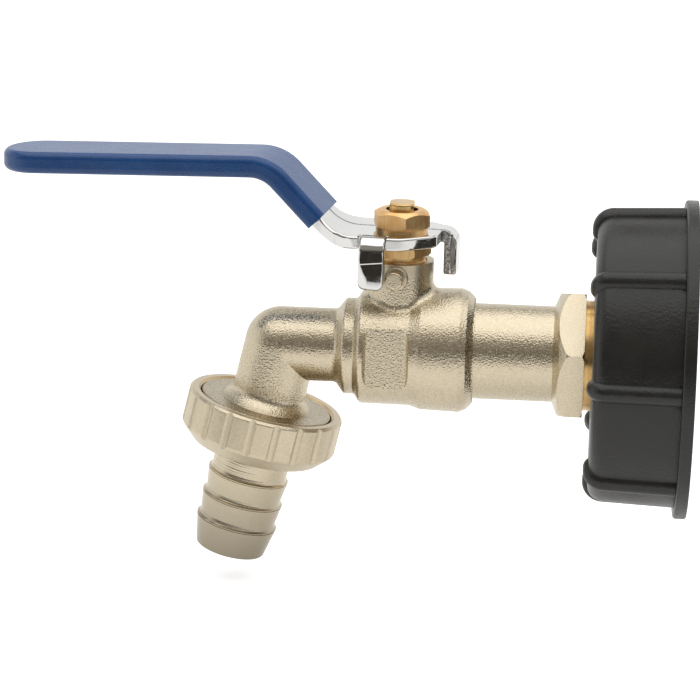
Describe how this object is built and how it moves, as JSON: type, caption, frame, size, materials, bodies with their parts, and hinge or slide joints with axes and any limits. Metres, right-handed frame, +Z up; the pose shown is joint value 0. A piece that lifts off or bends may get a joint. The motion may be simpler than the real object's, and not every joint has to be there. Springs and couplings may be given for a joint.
{
  "type": "ibc tank valve",
  "caption": "Drain tap for an IBC tank: plastic screw cap for the tank outlet, lever ball valve with an angled spout, and a barbed hose tail held by a union nut.",
  "frame": {"origin": "centre of the tank cap's open rim, on the cap's axis", "axes": "+X along the cap's and the tap's axis, into the tank; +Z up, along the valve's stem; the outlet leg points down and away from the tank, the open lever points away from the tank"},
  "size_m": [0.1744, 0.0792, 0.1041],
  "materials": {
    "cap_plastic": "black polypropylene, fine moulded texture, semi-gloss",
    "rubber": "black EPDM, matt",
    "bare_brass": "turned bare brass",
    "nickel": "brass, bead-blasted and nickel-plated, satin champagne",
    "chromed_brass": "brass, polished and chromed",
    "chromed_steel": "stamped steel, mirror chrome",
    "grip_plastic": "blue dipped PVC, smooth",
    "white_seal": "white PTFE"
  },
  "bodies": {
    "cap": {"tank_cap": "cap_plastic"},
    "tap": {"tank_gasket": "rubber", "swivel_bush": "bare_brass", "sealing_washer": "bare_brass", "inlet_connector": "nickel", "valve_body": "nickel", "seat_ring_inlet": "white_seal", "seat_ring_outlet": "white_seal", "stem_thrust_washer": "white_seal", "packing_ring_lower": "white_seal", "packing_ring_upper": "white_seal", "gland_nut": "bare_brass", "outlet_gasket": "rubber"},
    "lever": {"lever": "chromed_steel", "lever_grip": "grip_plastic", "stem": "bare_brass", "stem_nut": "bare_brass"},
    "ball": {"ball": "chromed_brass"},
    "union_nut": {"union_nut": "nickel"},
    "hose_tail": {"hose_tail": "nickel"}
  },
  "joints": [
    {"name": "cap_turn", "type": "hinge", "parent": "tap", "child": "cap", "pos_m": [-0.0186, 0, 0], "axis": [1, 0, 0], "continuous": true},
    {"name": "lever_turn", "type": "hinge", "parent": "tap", "child": "lever", "pos_m": [-0.07305, 0, 0.0285], "axis": [0, 0, 1], "range_deg": [-90, 0]},
    {"name": "ball_turn", "type": "hinge", "parent": "tap", "child": "ball", "pos_m": [-0.07305, 0, 0], "axis": [0, 0, 1], "range_deg": [-90, 0]},
    {"name": "union_nut_spin", "type": "hinge", "parent": "tap", "child": "union_nut", "pos_m": [-0.10235, 0, 0], "axis": [-0.2215, 0, -0.9751], "continuous": true},
    {"name": "hose_tail_swivel", "type": "hinge", "parent": "tap", "child": "hose_tail", "pos_m": [-0.10235, 0, 0], "axis": [-0.2215, 0, -0.9751], "continuous": true}
  ],
  "couplings": [
    {"joint": "ball_turn", "follows": "lever_turn", "ratio": 1}
  ]
}
